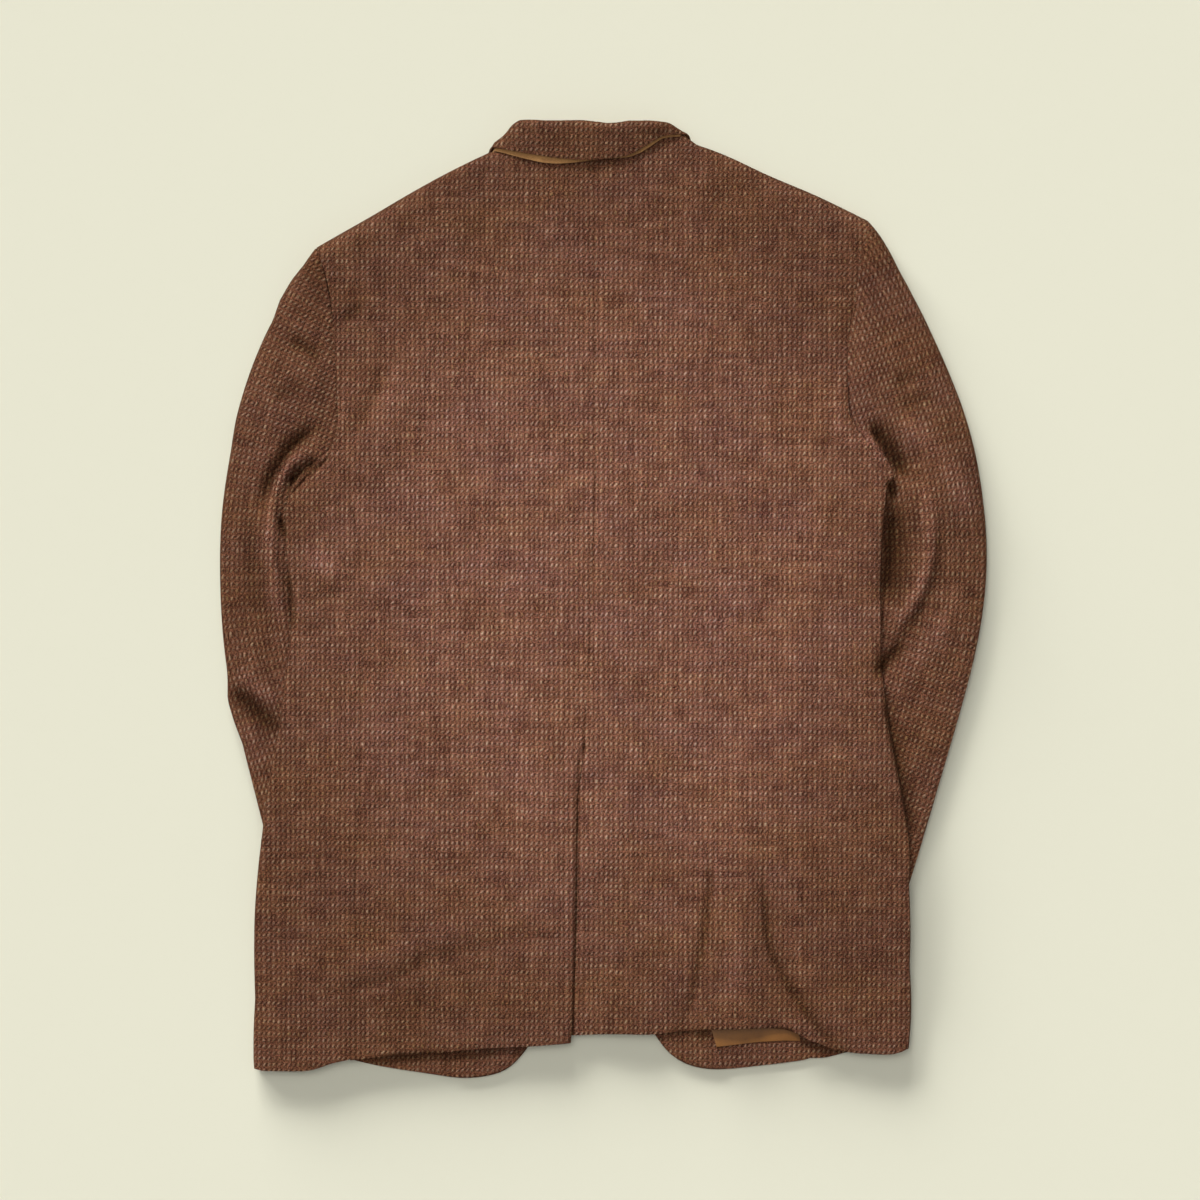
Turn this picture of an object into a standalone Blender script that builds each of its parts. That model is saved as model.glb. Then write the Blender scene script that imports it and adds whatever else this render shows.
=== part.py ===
# A tweed hacking jacket lying on its front, back up. Millimetres here, metres in the meshes.
# X is across the back, +Y is toward the collar and +Z is up from the surface it lies on.
import math

import bmesh
import bpy
from mathutils import Vector

MM = 0.001
WALL = 2.0            # tweed with its canvas and lining
SEAM = 0.3            # kept between pieces that are sewn together
BODY_DEPTH = 8.0      # outer face of the front to outer face of the back
YOKE_RISE = 13.0      # more of it at the padded shoulder tips
NECK_RISE = 5.2       # and at the neck
YOKE_SPREAD = 85.0    # how far the rise runs down the back
DRAPE_SLOPE = 0.28    # how steeply the body falls away beside what it lies on
DRAPE_REACH = 24.0    # stays up this far beyond it
STACK = 6.4           # outer face to outer face where something lifts the front
CLEAR = 1.2           # air between a piece and what it lies on
SLEEVE_CROWN = 18.0   # height of the upper arm
CUFF_CROWN = 9.0      # height of the pressed forearm and cuff
LAPEL_WALL = 1.8
FACING_WALL = 0.9
COLLAR_WALL = 1.8
MELTON_WALL = 1.2
ROLL_RADIUS = 3.1     # of the collar at its fold, fuller behind the neck than in front
ROLL_FULLER = 0.5
BUTTON_RADIUS = 10.0
BUTTON_THICK = 3.0
MELTON_SHOWS = 2.6    # under collar beyond the fall's edge

# Rows down the back: the first lie close together over the rounded shoulder
ARMHOLE_ROWS = (0.0, 0.015, 0.055, 0.13, 0.30, 0.53, 0.77, 1.0)
SEAM_ROWS = (0.03, 0.07, 0.13, 0.20, 0.28, 0.37, 0.45, 0.532, 0.58, 0.63, 0.72, 0.81, 0.90, 0.96,
             1.0)
CENTRE_TOP, CENTRE_CHEST, CENTRE_HEM = 390.0, 150.0, -384.0   # levels down the centre seam
SHARED_COLUMNS = 5    # columns of a front that lie exactly below those of its back
SLEEVE_ROWS = (0.0, 0.025, 0.06, 0.11, 0.17, 0.24, 0.31, 0.38, 0.45, 0.52, 0.59, 0.66, 0.74, 0.82,
               0.91, 1.0)
SLEEVE_ACROSS = (0.0, 0.012, 0.05, 0.13, 0.26, 0.40, 0.54, 0.67, 0.79, 0.89, 0.965, 1.0)
HINDARM, FOREARM = 8, 7    # the sleeve's seams, counted across from its outer edge
SIDE_ACROSS = (            # columns of a side body from its seam round its fold
    # share of the width, share of the fold's radius, angle round the fold in degrees
    (1.0, 0.0, 90), (0.55, 0.0, 90), (0.0, 1.0, 90), (0.0, 0.29, 45), (0.0, 0.0, 0),
)
VENT_DROP = 2.8            # the right back below the left one at the vent
VENT_TOP = -134.0
SLEEVE_EDGE = 4.6          # height of a sleeve's folded edges
FRONT_HEM_COLUMNS = (0.0, 0.07, 0.14, 0.24, 0.34, 0.44, 0.54, 0.63, 0.72, 0.81, 0.90, 1.0)
FACING_COLUMN, LINING_COLUMN = 6, 2

# Plan of each half: x, y from the middle of the back
LEFT = {
    "side": -1,
    "shoulder": ((-249, 305), (-230, 316), (-200, 333), (-170, 351), (-139, 368), (-98, 388)),
    "neck": ((-98, 388), (-60, 391), (-14, 390)),
    "armhole": ((-249, 305), (-240, 281), (-235, 255), (-233, 216), (-231, 173), (-229, 145)),
    "seam": ((-229, 145), (-223, 108), (-215, 68), (-210, 35), (-208, -43), (-210, -147),
             (-214, -227), (-217, -303), (-220, -399)),
    "centre": ((-14, 390), (-12, 320), (-6, 242), (-7, 116), (-10, 0), (-15, -87), (-17, -134),
               (-23, -160), (-24, -237), (-25, -301), (-27, -363), (-29, -384)),
    "hem": ((-220, -399), (-193, -396), (-148, -393), (-109, -389), (-64, -387), (-29, -384)),
    "fold": ((-237, 124), (-262, 112), (-275, 88), (-279, 70), (-276, 50), (-273, 30), (-269, -4),
             (-271, -37), (-276, -78), (-283, -121), (-291, -160), (-296, -204), (-301, -242),
             (-304, -290), (-303, -346), (-300, -400)),
    "side_hem": ((-220, -399), (-236, -402), (-255, -407), (-280, -407), (-300, -400)),
    "front_edge": ((-98, 388), (-97.5, 364), (-93, 345), (-83, 326), (-69, 300), (-50, 240),
                   (-28, 150), (-6, 70), (3.5, 30), (3.5, -130), (1, -190), (-3, -216),
                   (-29, -286), (-51, -346), (-64, -386)),
    "front_hem": ((-220, -400), (-193, -406), (-172, -409), (-151, -412), (-120, -416),
                  (-90, -411), (-78, -403), (-64, -386)),
    "sleeve_outer": ((-249, 305), (-266, 281), (-293, 229), (-313, 178), (-324, 126), (-332, 74),
                     (-333, 39), (-332, -13), (-326, -69), (-322, -92), (-315, -117), (-303, -165),
                     (-293, -204), (-278, -264), (-266, -312), (-262, -330)),
    "sleeve_inner": ((-229, 121), (-228, 90), (-220, 50), (-210, 10), (-200, -40), (-187, -90),
                     (-170, -150), (-150, -210), (-132, -255), (-118, -290)),
    "cuff": ((-262, -330), (-220, -322), (-170, -309), (-118, -290)),
    "gorge": ((-128, 290), (-66, 311)),
    "lapel": ((-128, 290), (-136, 276), (-127, 235), (-97, 160), (-58, 105), (-18, 80)),
    "roll": ((-66, 311), (-51, 240), (-29, 150), (-14, 79)),
}
RIGHT = {
    "side": 1,
    "shoulder": ((229, 328), (219, 333), (182, 351), (141, 368), (105, 385), (78, 395)),
    "neck": ((78, 395), (68, 394.8), (58, 397.5), (40, 395.5), (14, 391), (-14, 390)),
    "armhole": ((229, 328), (223, 294), (216, 260), (212, 225), (209, 191), (213, 158)),
    "seam": ((213, 158), (199, 126), (194, 78), (185, 9), (179, -69), (175, -165), (175, -242),
             (177, -320), (179, -382)),
    "centre": ((-14, 390), (-12, 320), (-6, 242), (-7, 116), (-10, 0), (-15, -87), (-16.7, -134),
               (-21.1, -158), (-54, -184), (-54, -380)),
    "hem": ((179, -382), (174, -381), (165, -374), (157, -371), (135, -371), (106, -372),
            (74, -373), (44, -377), (14, -376), (-16, -377), (-54, -379)),
    "fold": ((236, 125), (248, 112), (249, 92), (246, 69), (245, 52), (242, 17), (239, -15),
             (239, -55), (243, -87), (251, -124), (257, -160), (266, -221), (268, -260),
             (269, -294), (268, -338), (266, -390)),
    "side_hem": ((179, -382), (191, -387), (205, -391), (230, -394), (250, -396), (266, -390)),
    "front_edge": ((78, 395), (84.5, 372), (78, 348), (67, 328), (53, 300), (32, 240), (10, 150),
                   (-18, 70), (-36, 30), (-36, -130), (-30, -190), (-16, -234), (10, -294),
                   (31, -355), (44, -377)),
    "front_hem": ((179, -383), (178, -396), (170, -401), (144, -404), (105, -408), (83, -407),
                  (66, -401), (53, -390), (44, -377)),
    "sleeve_outer": ((229, 328), (240, 316), (250, 299), (275, 247), (299, 195), (318, 143),
                     (329, 91), (333, 39), (329, -13), (318, -65), (303, -117), (288, -169),
                     (271, -226), (256, -275), (247, -302)),
    "sleeve_inner": ((215, 130), (213, 98), (205, 52), (195, 10), (185, -30), (172, -75),
                     (157, -125), (138, -180), (118, -232), (104, -260)),
    "cuff": ((247, -302), (200, -292), (150, -278), (104, -260)),
    "gorge": ((110, 290), (48, 311)),
    "lapel": ((110, 290), (119, 276), (110, 235), (80, 160), (40, 105), (-3, 84)),
    "roll": ((48, 311), (33, 240), (11, 150), (-9, 83)),
}
# Folds: where each starts and ends, how far in (-) or out (+), and how wide
BACK_FOLDS = (
    # x0, y0, x1, y1, height, width
    (-190, 204, -220, 138, -2.0, 9),
    (-168, 196, -196, 130, 2.5, 14),
    (-246, 30, -246, 28, 4.0, 24),
    (-224, -333, -118, -298, -2.4, 12),
    (92, -212, 84, -300, -2.4, 13),
    (84, -300, 64, -372, -2.6, 13),
    (118, -205, 118, -372, 4.5, 17),
    (142, -225, 150, -320, -2.0, 13),
    (150, -320, 172, -372, -1.8, 12),
    (198, -300, 190, -380, 2.0, 14),
    (-26, -165, -26, -245, 1.9, 34),
)
LEFT_SLEEVE_FOLDS = (
    (-243, 150, -272, 122, -6.0, 9),
    (-272, 122, -292, 98, -5.0, 9),
    (-250, 138, -284, 112, 3.5, 8),
    (-284, 112, -288, 30, 4.0, 12),
    (-276, 60, -272, -20, -4.0, 8),
    (-322, -80, -281, -114, -4.5, 10),
    (-272, 220, -246, 206, -2.5, 9),
)
RIGHT_SLEEVE_FOLDS = (
    (232, 148, 262, 108, -6.5, 9),
    (262, 108, 280, 98, -5.5, 9),
    (240, 160, 292, 130, 3.0, 10),
    (292, 130, 312, 80, 3.0, 12),
    (262, 92, 288, 60, 3.5, 10),
    (288, 60, 262, -14, 3.5, 11),
    (295, 68, 292, 10, -3.5, 9),
    (292, 10, 245, -56, -4.5, 10),
)
SHOULDER_RISE = (
    # x, y, rise
    (-249, 305, YOKE_RISE), (-98, 388, 6.5), (-14, 390, NECK_RISE), (78, 396, 8.0),
    (229, 328, YOKE_RISE),
)
COLLAR = (
    # fold x, y, z, fall's edge x, y, z, neck seam x, y, z, turn of the fall in degrees
    (-66, 318, 4.8, -124, 313, 2.3, -80, 326, 6.6, 180),
    (-72, 342, 4.9, -119, 336, 2.4, -90, 345, 7.2, 178),
    (-79, 366, 5.4, -114, 362, 3.0, -95, 362, 7.6, 172),
    (-83, 388, 6.4, -112, 381, 4.2, -93.5, 378, 8.6, 158),
    (-85, 400.5, 8.6, -109.5, 388, 6.4, -91.5, 389.5, 9.8, 126),
    (-85, 404, 12.4, -105.5, 391.2, 11.0, -89.5, 392, 11.0, 92),
    (-81.5, 407.5, 17.4, -98.5, 391.5, 16.0, -85, 393.2, 11.6, 50),
    (-72, 411, 19.8, -82, 388.5, 17.8, -75, 394.2, 11.6, 20),
    (-48, 413.5, 20.5, -54, 384.5, 17.8, -50, 394.8, 11.4, 6),
    (-14, 415, 20.5, -15, 379.5, 17.0, -14, 393.4, 11.0, 0),
    (20, 414.5, 20.5, 20, 384, 17.2, 20, 394.6, 11.2, 0),
    (42, 414.5, 21.0, 44, 391, 18.0, 42, 399.2, 11.6, -10),
    (57, 412, 20.0, 62, 396.5, 18.6, 57, 400.5, 12.0, -23),
    (64.5, 409.5, 17.2, 76, 398.8, 16.2, 68, 399.5, 12.0, -51),
    (68.5, 406, 12.4, 85, 399.0, 11.0, 72.5, 396, 11.2, -92),
    (69.5, 402.5, 8.6, 92, 396, 6.4, 75, 393, 9.8, -126),
    (69, 390, 5.8, 97.5, 385.5, 4.0, 79, 385, 8.2, -158),
    (66, 370, 5.2, 100, 366, 3.0, 80, 368, 7.6, -172),
    (58, 344, 4.9, 104, 338, 2.4, 75, 350, 7.2, -178),
    (50, 318, 4.8, 108, 313, 2.3, 64, 328, 6.6, -180),
)
BUTTONS = (
    # x, y
    (-16, 46), (-16, -44), (-16, -134),
)

MATERIALS = {
    # name: colour, roughness
    "tweed": ((0.155, 0.072, 0.045, 1.0), 0.92),
    "melton": ((0.175, 0.085, 0.032, 1.0), 0.9),
    "lining": ((0.170, 0.075, 0.026, 1.0), 0.55),
    "horn": ((0.050, 0.022, 0.012, 1.0), 0.4),
}


def lerp(a, b, f):
    return tuple(p + (q - p) * f for p, q in zip(a, b))


def smooth(f):
    f = min(max(f, 0.0), 1.0)
    return f * f * (3.0 - 2.0 * f)


def curve(points, steps=6):
    """The points joined by a smooth line."""
    out = []
    for i in range(len(points) - 1):
        p0, p1 = points[max(i - 1, 0)], points[i]
        p2, p3 = points[i + 1], points[min(i + 2, len(points) - 1)]
        for k in range(steps):
            t = k / steps
            out.append(tuple(0.5 * (2 * b + (c - a) * t + (2 * a - 5 * b + 4 * c - d) * t * t
                                    + (3 * b - a - 3 * c + d) * t ** 3)
                             for a, b, c, d in zip(p0, p1, p2, p3)))
    return out + [tuple(points[-1])]


def along(points, fractions):
    """Points at these fractions of the smooth line's length."""
    line = curve(points)
    marks = [0.0]
    for a, b in zip(line, line[1:]):
        marks.append(marks[-1] + math.dist(a, b))
    out, k = [], 0
    for f in fractions:
        while k < len(line) - 2 and marks[k + 1] < f * marks[-1]:
            k += 1
        step = max(marks[k + 1] - marks[k], 1e-9)
        out.append(lerp(line[k], line[k + 1], (f * marks[-1] - marks[k]) / step))
    return out


def even(count):
    return [i / count for i in range(count + 1)]


def across_at(points, y):
    """x of a line down the body at this height."""
    for (ax, ay), (bx, by) in zip(points, points[1:]):
        if y >= by:
            break
    return ax + (bx - ax) * (ay - y) / (ay - by)


def patch(top, bottom, left, right, shares=None):
    """A grid of plan points that fills four edges, its rows running from left to right."""
    rows, columns = len(left) - 1, len(top) - 1
    whole = math.dist(left[0], left[-1]) + math.dist(right[0], right[-1])
    grid = []
    for i in range(rows + 1):
        v = min((math.dist(left[0], left[i]) + math.dist(right[0], right[i])) / whole, 1.0)
        row = []
        for j in range(columns + 1):
            u = shares[i][j] if shares else j / columns
            row.append(tuple(
                (1 - v) * top[j][k] + v * bottom[j][k] + (1 - u) * left[i][k] + u * right[i][k]
                - (1 - u) * ((1 - v) * top[0][k] + v * bottom[0][k])
                - u * ((1 - v) * top[-1][k] + v * bottom[-1][k]) for k in (0, 1)))
        grid.append(row)
    return grid


def from_line(x, y, a, b):
    """Distance to a straight line's length, and the fraction along it."""
    dx, dy = b[0] - a[0], b[1] - a[1]
    f = min(max(((x - a[0]) * dx + (y - a[1]) * dy) / max(dx * dx + dy * dy, 1e-9), 0.0), 1.0)
    return math.hypot(x - a[0] - f * dx, y - a[1] - f * dy), f


def folds_at(x, y, folds):
    total = 0.0
    for ax, ay, bx, by, height, width in folds:
        distance, _ = from_line(x, y, (ax, ay), (bx, by))
        total += height * math.exp(-(distance / width) ** 2)
    return total


def draped(x, y, props):
    """How high cloth hangs here when it lies over these points."""
    high = 0.0
    for px, py, pz in props:
        if pz > high:
            beyond = max(math.hypot(x - px, y - py) - DRAPE_REACH, 0.0)
            high = max(high, pz - DRAPE_SLOPE * beyond)
    return high


def depth(x, y):
    """From the outer face of the front to that of the back."""
    best = 0.0
    for (ax, ay, rise_a), (bx, by, rise_b) in zip(SHOULDER_RISE, SHOULDER_RISE[1:]):
        distance, f = from_line(x, y, (ax, ay), (bx, by))
        spread = math.exp(-(distance / YOKE_SPREAD) ** 2)
        best = max(best, (rise_a + (rise_b - rise_a) * f) * spread)
    return BODY_DEPTH + best


def turned(outer, way, wall):
    """The inner face of a wall: each point moved in, against the way its cloth faces."""
    return [[tuple(p - wall * w for p, w in zip(point, facing))
             for point, facing in zip(points, facings)] for points, facings in zip(outer, way)]


def cloth(name, outer, inner, finish):
    """A closed wall of cloth between two grids of the same size."""
    rows, columns = len(outer), len(outer[0])
    shape = bmesh.new()
    bmesh.ops.create_grid(shape, x_segments=columns - 1, y_segments=rows - 1, size=1.0)
    far = bmesh.ops.extrude_face_region(shape, geom=shape.faces[:])
    raised = {item for item in far["geom"] if isinstance(item, bmesh.types.BMVert)}
    for vert in shape.verts:
        i = round((1.0 - vert.co.y) / 2.0 * (rows - 1))
        j = round((1.0 + vert.co.x) / 2.0 * (columns - 1))
        vert.co = Vector((outer if vert in raised else inner)[i][j]) * MM
    bmesh.ops.triangulate(shape, faces=shape.faces[:], quad_method="FIXED")
    bmesh.ops.recalc_face_normals(shape, faces=shape.faces[:])
    mesh = bpy.data.meshes.new(name)
    shape.to_mesh(mesh)
    shape.free()
    mesh.materials.append(finishes[finish])
    jacket.objects.link(bpy.data.objects.new(name, mesh))


# Sleeves: the plan, then the height of the upper and lower face at each point
def sleeve_section(share, row):
    """Height of the upper and lower face across a sleeve: the body presses its inner part."""
    crown = SLEEVE_CROWN + (CUFF_CROWN - SLEEVE_CROWN) * smooth((row - 0.30) / 0.36)
    under_body = 0.50 - 0.20 * smooth(row / 0.20)
    pressed = 1.0 - 0.55 * smooth((share - under_body) / 0.22) * (1.0 - smooth((row - 0.5) / 0.2))
    off = abs(2 * share - 1)
    high = SLEEVE_EDGE + (crown - SLEEVE_EDGE) * pressed * (1 - off ** 2.3) ** (1 / 2.3)
    low = SLEEVE_EDGE - SLEEVE_EDGE * (1 - off ** 5) ** (1 / 5)
    return high, low


def sleeve_plan(half):
    loop = along(half["armhole"], ARMHOLE_ROWS)
    loop += along((half["armhole"][-1], half["sleeve_inner"][0]), (0.45, 0.75, 0.92, 1.0))
    loop = [(x + half["side"] * (SEAM + 0.1) * (k < len(loop) - 1), y)
            for k, (x, y) in enumerate(loop)]
    marks = [0.0]
    for a, b in zip(loop, loop[1:]):
        marks.append(marks[-1] + math.dist(a, b))
    shares = [[m / marks[-1] + (s - m / marks[-1]) * min(3.0 * row, 1.0)
               for m, s in zip(marks, SLEEVE_ACROSS)] for row in SLEEVE_ROWS]
    plan = patch(loop, along(half["cuff"], SLEEVE_ACROSS),
                 [loop[0]] + along(half["sleeve_outer"], SLEEVE_ROWS)[1:],
                 along(half["sleeve_inner"], SLEEVE_ROWS), shares)
    return plan, shares


def sleeve_top(x, y, share, row, half):
    folds = LEFT_SLEEVE_FOLDS if half["side"] < 0 else RIGHT_SLEEVE_FOLDS
    room = (1 - abs(2 * share - 1) ** 4) * smooth(row / 0.07)
    return sleeve_section(share, row)[0] + folds_at(x, y, folds) * room


def sleeve_faces(half):
    """Upper and lower grids of a sleeve, each with the way its cloth faces."""
    plan, shares = half["sleeve_plan"]
    faces = {"upper": ([], []), "lower": ([], [])}
    for i, row in enumerate(SLEEVE_ROWS):
        over = Vector(plan[i][0]) - Vector(plan[i][-1])
        over.normalize()
        for sign, (grid, way) in zip((1, -1), faces.values()):
            points, facings = [], []
            for j, (x, y) in enumerate(plan[i]):
                share = shares[i][j]
                height = sleeve_section(share, row)[1]
                if sign > 0:
                    height = sleeve_top(x, y, share, row, half)
                band = 0.16 if sign > 0 else 0.10
                near = min(share, 1 - share)
                up = math.sin(math.pi / 2 * min(near / band, 1.0) ** 0.5)
                flat = math.sqrt(max(1 - up * up, 0.0)) * (1 if share < 0.5 else -1)
                facing = (over.x * flat, over.y * flat, sign * up)
                if j < len(ARMHOLE_ROWS) - 1:
                    join = smooth(row / 0.11)
                    z, start = half["armhole_edge"][j][0 if sign > 0 else 1]
                    if j == 0:
                        z = sum(edge[0] for edge in half["armhole_edge"][0]) / 2
                    height = z + (height - z) * join
                    facing = tuple(Vector(lerp(start, facing, join)).normalized())
                points.append((x, y, height))
                facings.append(facing)
            grid.append(points)
            way.append(facings)
    return faces


def sleeve_pieces(half, ending):
    faces = sleeve_faces(half)
    (upper, up_way), (lower, low_way) = faces["upper"], faces["lower"]
    last = len(SLEEVE_ACROSS) - 1
    cut = {
        # piece: columns of the upper face, then of the lower
        "top_sleeve_": (range(HINDARM, -1, -1), range(1, FOREARM + 1)),
        "under_sleeve_": (range(HINDARM, last + 1), range(last - 1, FOREARM - 1, -1)),
    }
    for name, (above, below) in cut.items():
        outer, way = [], []
        for i in range(len(SLEEVE_ROWS)):
            points = [upper[i][j] for j in above] + [lower[i][j] for j in below]
            points[0] = stepped(points[0], points[1], SEAM / 2)
            points[-1] = stepped(points[-1], points[-2], SEAM / 2)
            outer.append(points)
            way.append([up_way[i][j] for j in above] + [low_way[i][j] for j in below])
        cloth(name + ending, outer, turned(outer, way, WALL), "tweed")


def stepped(point, toward, distance):
    return lerp(point, toward, distance / max(math.dist(point, toward), 1e-9))


# Body: the plans of the back and the front of a half
def body_plans(half):
    levels = ([CENTRE_TOP + (CENTRE_CHEST - CENTRE_TOP) * f for f in ARMHOLE_ROWS]
              + [CENTRE_CHEST + (CENTRE_HEM - CENTRE_CHEST) * f for f in SEAM_ROWS[:-1]]
              + [half["hem"][-1][1]])
    centre = [(across_at(half["centre"], y), y) for y in levels]
    armhole = along(half["armhole"], ARMHOLE_ROWS)
    seam = armhole + along(half["seam"], SEAM_ROWS)
    shoulder = along(half["shoulder"], even(8))
    back = patch(shoulder + along(half["neck"], even(4))[1:], along(half["hem"], even(12)),
                 seam, centre)
    inner = len(FRONT_HEM_COLUMNS) - 1 - SHARED_COLUMNS
    edge = along(half["front_edge"], [0.305 * f for f in ARMHOLE_ROWS]
                 + [0.305 + 0.695 * f for f in SEAM_ROWS])
    top = shoulder[:SHARED_COLUMNS + 1] + along(
        half["shoulder"], [0.625 + 0.375 * f for f in even(inner)])[1:]
    hem = along(half["front_hem"], FRONT_HEM_COLUMNS)
    to_hem = patch(top, hem, seam, edge)
    front = []
    for i, row in enumerate(to_hem):
        keep = 1.0 - smooth((i - (len(seam) - 6)) / 5)
        shared = back[i][:SHARED_COLUMNS + 1]
        shared += [lerp(shared[-1], edge[i], k / inner) for k in range(1, inner + 1)]
        if i == 0:
            shared = row
        front.append([lerp(a, b, keep) for a, b in zip(row, shared)])
    return back, front


def rounded(x, y, half, high, low):
    """Both faces brought together round the shoulder seam, and the way each faces."""
    line = half["shoulder_line"]
    distance = min(from_line(x, y, a, b)[0] for a, b in zip(line, line[1:]))
    middle, radius = (high + low) / 2, (high - low) / 2
    up = math.sqrt(max(1.0 - (1.0 - min(distance / radius, 1.0)) ** 2, 0.0))
    flat = math.sqrt(1.0 - up * up)
    way = (half["side"] * 0.5 * flat, 0.866 * flat)
    rise = SEAM / 2 + (radius - SEAM / 2) * up
    return (middle + rise, way + (up,)), (middle - rise, way + (-up,))


def back_height(x, y, half):
    """The higher of the body's own depth and what the fronts are lifted to, eased together."""
    own, lifted = depth(x, y), draped(x, y, props["all"]) + STACK
    high = (own + lifted + math.hypot(own - lifted, 2.0)) / 2 + folds_at(x, y, BACK_FOLDS)
    if half["side"] > 0:
        high -= VENT_DROP * smooth((VENT_TOP - y) / 22.0) * smooth((6.0 - x) / 26.0)
    return high


def front_height(x, y, half):
    return draped(x, y, props[half["side"]])


def panel(half, plan, which):
    """Outer face of a back (0) or a front (1), with the way it faces."""
    grid, way = [], []
    for row in plan:
        points, facings = [], []
        for x, y in row:
            both = rounded(x, y, half, back_height(x, y, half), front_height(x, y, half))
            z, facing = both[which]
            points.append((x, y, z))
            facings.append(facing)
        grid.append(points)
        way.append(facings)
    for row in grid:
        row[0] = (row[0][0] - half["side"] * SEAM / 2,) + row[0][1:]
        if which == 0:
            row[-1] = (row[-1][0] + half["side"] * SEAM / 2,) + row[-1][1:]
    return grid, way


def side_body(half, ending):
    """The side body wraps the folded edge from the back's seam to the front's."""
    seam = [half["armhole"][-1]] + along(half["seam"], SEAM_ROWS)
    fold = along(half["fold"], [0.0] + [f ** 0.85 for f in SEAM_ROWS])
    hem = along(half["side_hem"], [1 - share for share, _, _ in SIDE_ACROSS])
    outer, way = [], []
    for i, (s, f) in enumerate(zip(seam, fold)):
        s = (s[0] + half["side"] * SEAM / 2, s[1])
        width = math.dist(s, f)
        out = ((f[0] - s[0]) / width, (f[1] - s[1]) / width)
        high, low = back_height(*f, half), front_height(*f, half)
        middle, radius = (high + low) / 2, (high - low) / 2
        above, below = [], []
        for j, (share, round_share, angle) in enumerate(SIDE_ACROSS):
            inward = share * width + round_share * min(radius, 0.45 * width)
            x, y = f[0] - out[0] * inward, f[1] - out[1] * inward
            if i == len(seam) - 1:
                y += hem[j][1] - (s[1] + (f[1] - s[1]) * (1 - inward / width))
            up, flat = math.sin(math.radians(angle)), math.cos(math.radians(angle))
            top, base = middle + radius * up, middle - radius * up
            if angle == 90:
                top, base = back_height(x, y, half), front_height(x, y, half)
            if i == 0 and 0 < j < 3:
                top = min(top, middle + WALL + 2 * SEAM)
                base = max(base, middle - WALL - 2 * SEAM)
            above.append(((x, y, top), (out[0] * flat, out[1] * flat, up)))
            below.append(((x, y, base), (out[0] * flat, out[1] * flat, -up)))
        row = above + below[-2::-1]
        outer.append([point for point, _ in row])
        way.append([facing for _, facing in row])
    cloth("side_" + ending, outer, turned(outer, way, WALL), "tweed")


def laid_on(grid, rows, columns, gap, wall, trim, name, finish):
    """Thin cloth on the inner side of a front, made from the front's own points."""
    base = []
    for i in rows:
        points = [(x, y, z + WALL + gap) for x, y, z in (grid[i][j] for j in columns)]
        points[0] = stepped(points[0], points[1], trim)
        points[-1] = stepped(points[-1], points[-2], trim)
        base.append(points)
    base[-1] = [stepped(a, b, trim) for a, b in zip(base[-1], base[-2])]
    top = [[(x, y, z + wall) for x, y, z in row] for row in base]
    cloth(name, top, base, finish)


# Collar: one folded surface that the two collar pieces lie either side of
def collar_sheet():
    grid = []
    for row in COLLAR:
        fold, fall, neck = Vector(row[0:3]), Vector(row[3:6]), Vector(row[6:9])
        turn = math.radians(row[9])
        out = Vector((-math.sin(turn) * 0.95, abs(math.sin(turn)) * 0.3, math.cos(turn)))
        out.normalize()
        run = fold - (fall + neck) / 2
        run = (run - out * run.dot(out)).normalized()
        radius = (ROLL_RADIUS + ROLL_FULLER * math.cos(turn)) * (1 - 0.22 * abs(math.sin(turn)))
        high = fold + (out - run) * radius
        low = fold - (out + run) * radius
        neck = low.lerp(neck, 1.0 - 0.8 * smooth((abs(row[9]) - 10.0) / 30.0))
        points = [neck, neck.lerp(low, 0.5), low, fold - (out * 0.71 + run * 0.29) * radius,
                  fold, fold + (out * 0.71 - run * 0.29) * radius, high, high.lerp(fall, 0.5),
                  fall]
        grid.append([tuple(p) for p in points])
    return grid


def normals(grid):
    out = []
    for i, row in enumerate(grid):
        facings = []
        for j in range(len(row)):
            down = Vector(grid[min(i + 1, len(grid) - 1)][j]) - Vector(grid[max(i - 1, 0)][j])
            over = Vector(row[min(j + 1, len(row) - 1)]) - Vector(row[max(j - 1, 0)])
            facings.append(tuple(over.cross(down).normalized()))
        out.append(facings)
    return out


def collar_pieces():
    for name, start, wall, overhang, finish in (
            ("collar", COLLAR_WALL + SEAM, COLLAR_WALL, 0.0, "tweed"),
            ("under_collar", -SEAM, MELTON_WALL, MELTON_SHOWS, "melton")):
        sheet = collar_sheet()
        way = normals(sheet)
        for row in sheet:
            row[-1] = stepped(row[-1], row[-2], -overhang)
        outer = turned(sheet, way, -start)
        cloth(name, outer, turned(outer, way, wall), finish)


def props_under(half):
    """What each front lies on: its sleeve, its lapel and its half of the collar."""
    plan, shares = half["sleeve_plan"]
    edge, found = half["armhole"][-1:] + half["fold"], []
    for i, row in enumerate(SLEEVE_ROWS):
        for j, (x, y) in enumerate(plan[i]):
            if y < edge[0][1] and abs(x) < abs(across_at(edge, y)) + 14.0:
                found.append((x, y, sleeve_top(x, y, shares[i][j], row, half) + CLEAR))
    found += [(x, y, LAPEL_WALL + CLEAR) for row in half["lapel_plan"] for x, y in row]
    for row in COLLAR:
        if abs(row[9]) > 140 and row[3] * half["side"] > 0:
            for f in (0.0, 0.35, 0.7):
                x, y, z = lerp(row[3:6], row[6:9], f)
                found.append((x, y, row[5] + MELTON_WALL + SEAM + CLEAR))
    return found


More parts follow.
